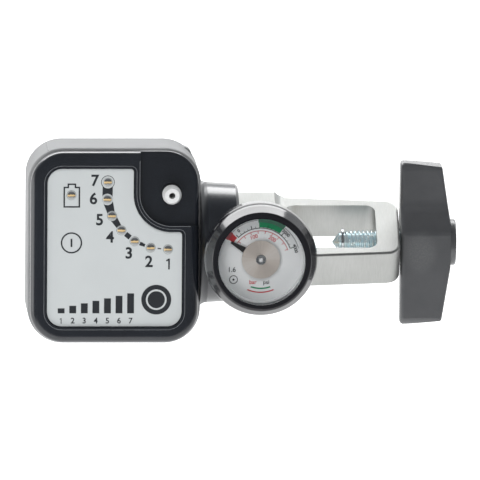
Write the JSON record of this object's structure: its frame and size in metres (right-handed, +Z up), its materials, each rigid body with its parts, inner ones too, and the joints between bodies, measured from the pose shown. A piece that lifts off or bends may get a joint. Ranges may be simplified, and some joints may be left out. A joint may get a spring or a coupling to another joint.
{
  "type": "oxygen conserver",
  "caption": "Electronic oxygen conserver with a post-valve yoke, T-handle clamp screw, contents gauge, lamp panel and hose barb.",
  "frame": {"origin": "on the regulator's main axis, in the yoke's pin-index face, where the cylinder's post is clamped", "axes": "+X along the main axis from the case to the T-handle, +Z up along the cylinder's post; the panel and the gauge face -Y and lean back by 31.5 degrees"},
  "size_m": [0.1451, 0.0753, 0.073],
  "materials": {
    "satin_aluminium": "brushed satin",
    "brass": "turned",
    "bronze": "plain",
    "washer_nylon": "matt",
    "steel": "plain",
    "zinc_steel": "zinc plated",
    "handle_plastic": "worn matt moulding",
    "black_anodised": "satin black anodised",
    "case_silver": "fine satin",
    "black_rubber": "matt",
    "gauge_black": "glossy",
    "clear_lens": "clear",
    "dial_white": "printed",
    "hub_nickel": "spun",
    "pointer_black": "matt",
    "cover_grey": "fine grain",
    "bezel_black": "semi gloss",
    "panel_silver": "printed film",
    "lamp_chip": "lamp",
    "board_green": "board",
    "barb_nickel": "satin nickel",
    "cell_wrap": "wrap"
  },
  "bodies": {
    "frame": {"yoke": "satin_aluminium", "inlet_nipple": "brass", "inlet_filter": "bronze", "seal_washer": "washer_nylon", "valve_seat": "washer_nylon", "index_pins": "steel", "regulator_body": "black_anodised", "neck_flange": "case_silver", "piston_spring": "steel", "gauge_stem": "brass", "gauge_case": "steel", "gauge_bezel": "gauge_black", "gauge_lens": "clear_lens", "dial_plate": "dial_white", "bourdon_coil": "bronze", "main_case": "case_silver", "back_cover": "case_silver", "front_bezel": "bezel_black", "panel_overlay": "panel_silver", "led_windows": "clear_lens", "led_chips": "lamp_chip", "circuit_board": "board_green", "outlet_barb": "barb_nickel", "barb_seal": "black_rubber", "valve_manifold": "satin_aluminium", "solenoid_valve": "steel", "breath_sensor": "pointer_black", "battery_cells": "cell_wrap", "battery_contacts": "steel", "selector_axle": "steel", "selector_switch": "board_green", "case_screws": "steel"},
    "screw_carrier": {"retaining_ring": "steel"},
    "screw": {"clamp_screw": "zinc_steel", "handle": "handle_plastic"},
    "pointer": {"pointer": "pointer_black", "pointer_hub": "hub_nickel", "pointer_shaft": "brass"},
    "piston": {"piston": "brass", "piston_seal": "black_rubber"},
    "battery_door": {"battery_door": "cover_grey"},
    "selector": {"selector_wheel": "cover_grey"}
  },
  "joints": [
    {"name": "screw_travel", "type": "slide", "parent": "frame", "child": "screw_carrier", "axis": [1, 0, 0], "range_m": [0, 0.0105]},
    {"name": "screw_turn", "type": "hinge", "parent": "screw_carrier", "child": "screw", "pos_m": [0.03, 0, 0], "axis": [1, 0, 0], "range_deg": [0, 2700]},
    {"name": "pointer_turn", "type": "hinge", "parent": "frame", "child": "pointer", "pos_m": [-0.0102, -0.03283, 0.02012], "axis": [0, -0.8526, 0.5225], "range_deg": [-126, 0], "stiffness_Nm_per_rad": 0.00002},
    {"name": "piston_travel", "type": "slide", "parent": "frame", "child": "piston", "axis": [1, 0, 0], "range_m": [0, 0.0007], "stiffness_N_per_m": 300, "springref_m": -0.003, "deforming": ["piston_spring"]},
    {"name": "door_slide", "type": "slide", "parent": "frame", "child": "battery_door", "axis": [-1, 0, 0], "range_m": [0, 0.006]},
    {"name": "selector_turn", "type": "hinge", "parent": "frame", "child": "selector", "pos_m": [-0.0466, -0.00651, -0.02709], "axis": [0, -0.8526, 0.5225], "range_deg": [0, 252]}
  ],
  "couplings": [
    {"joint": "screw_turn", "follows": "screw_travel", "rad_per_m": 4453}
  ]
}
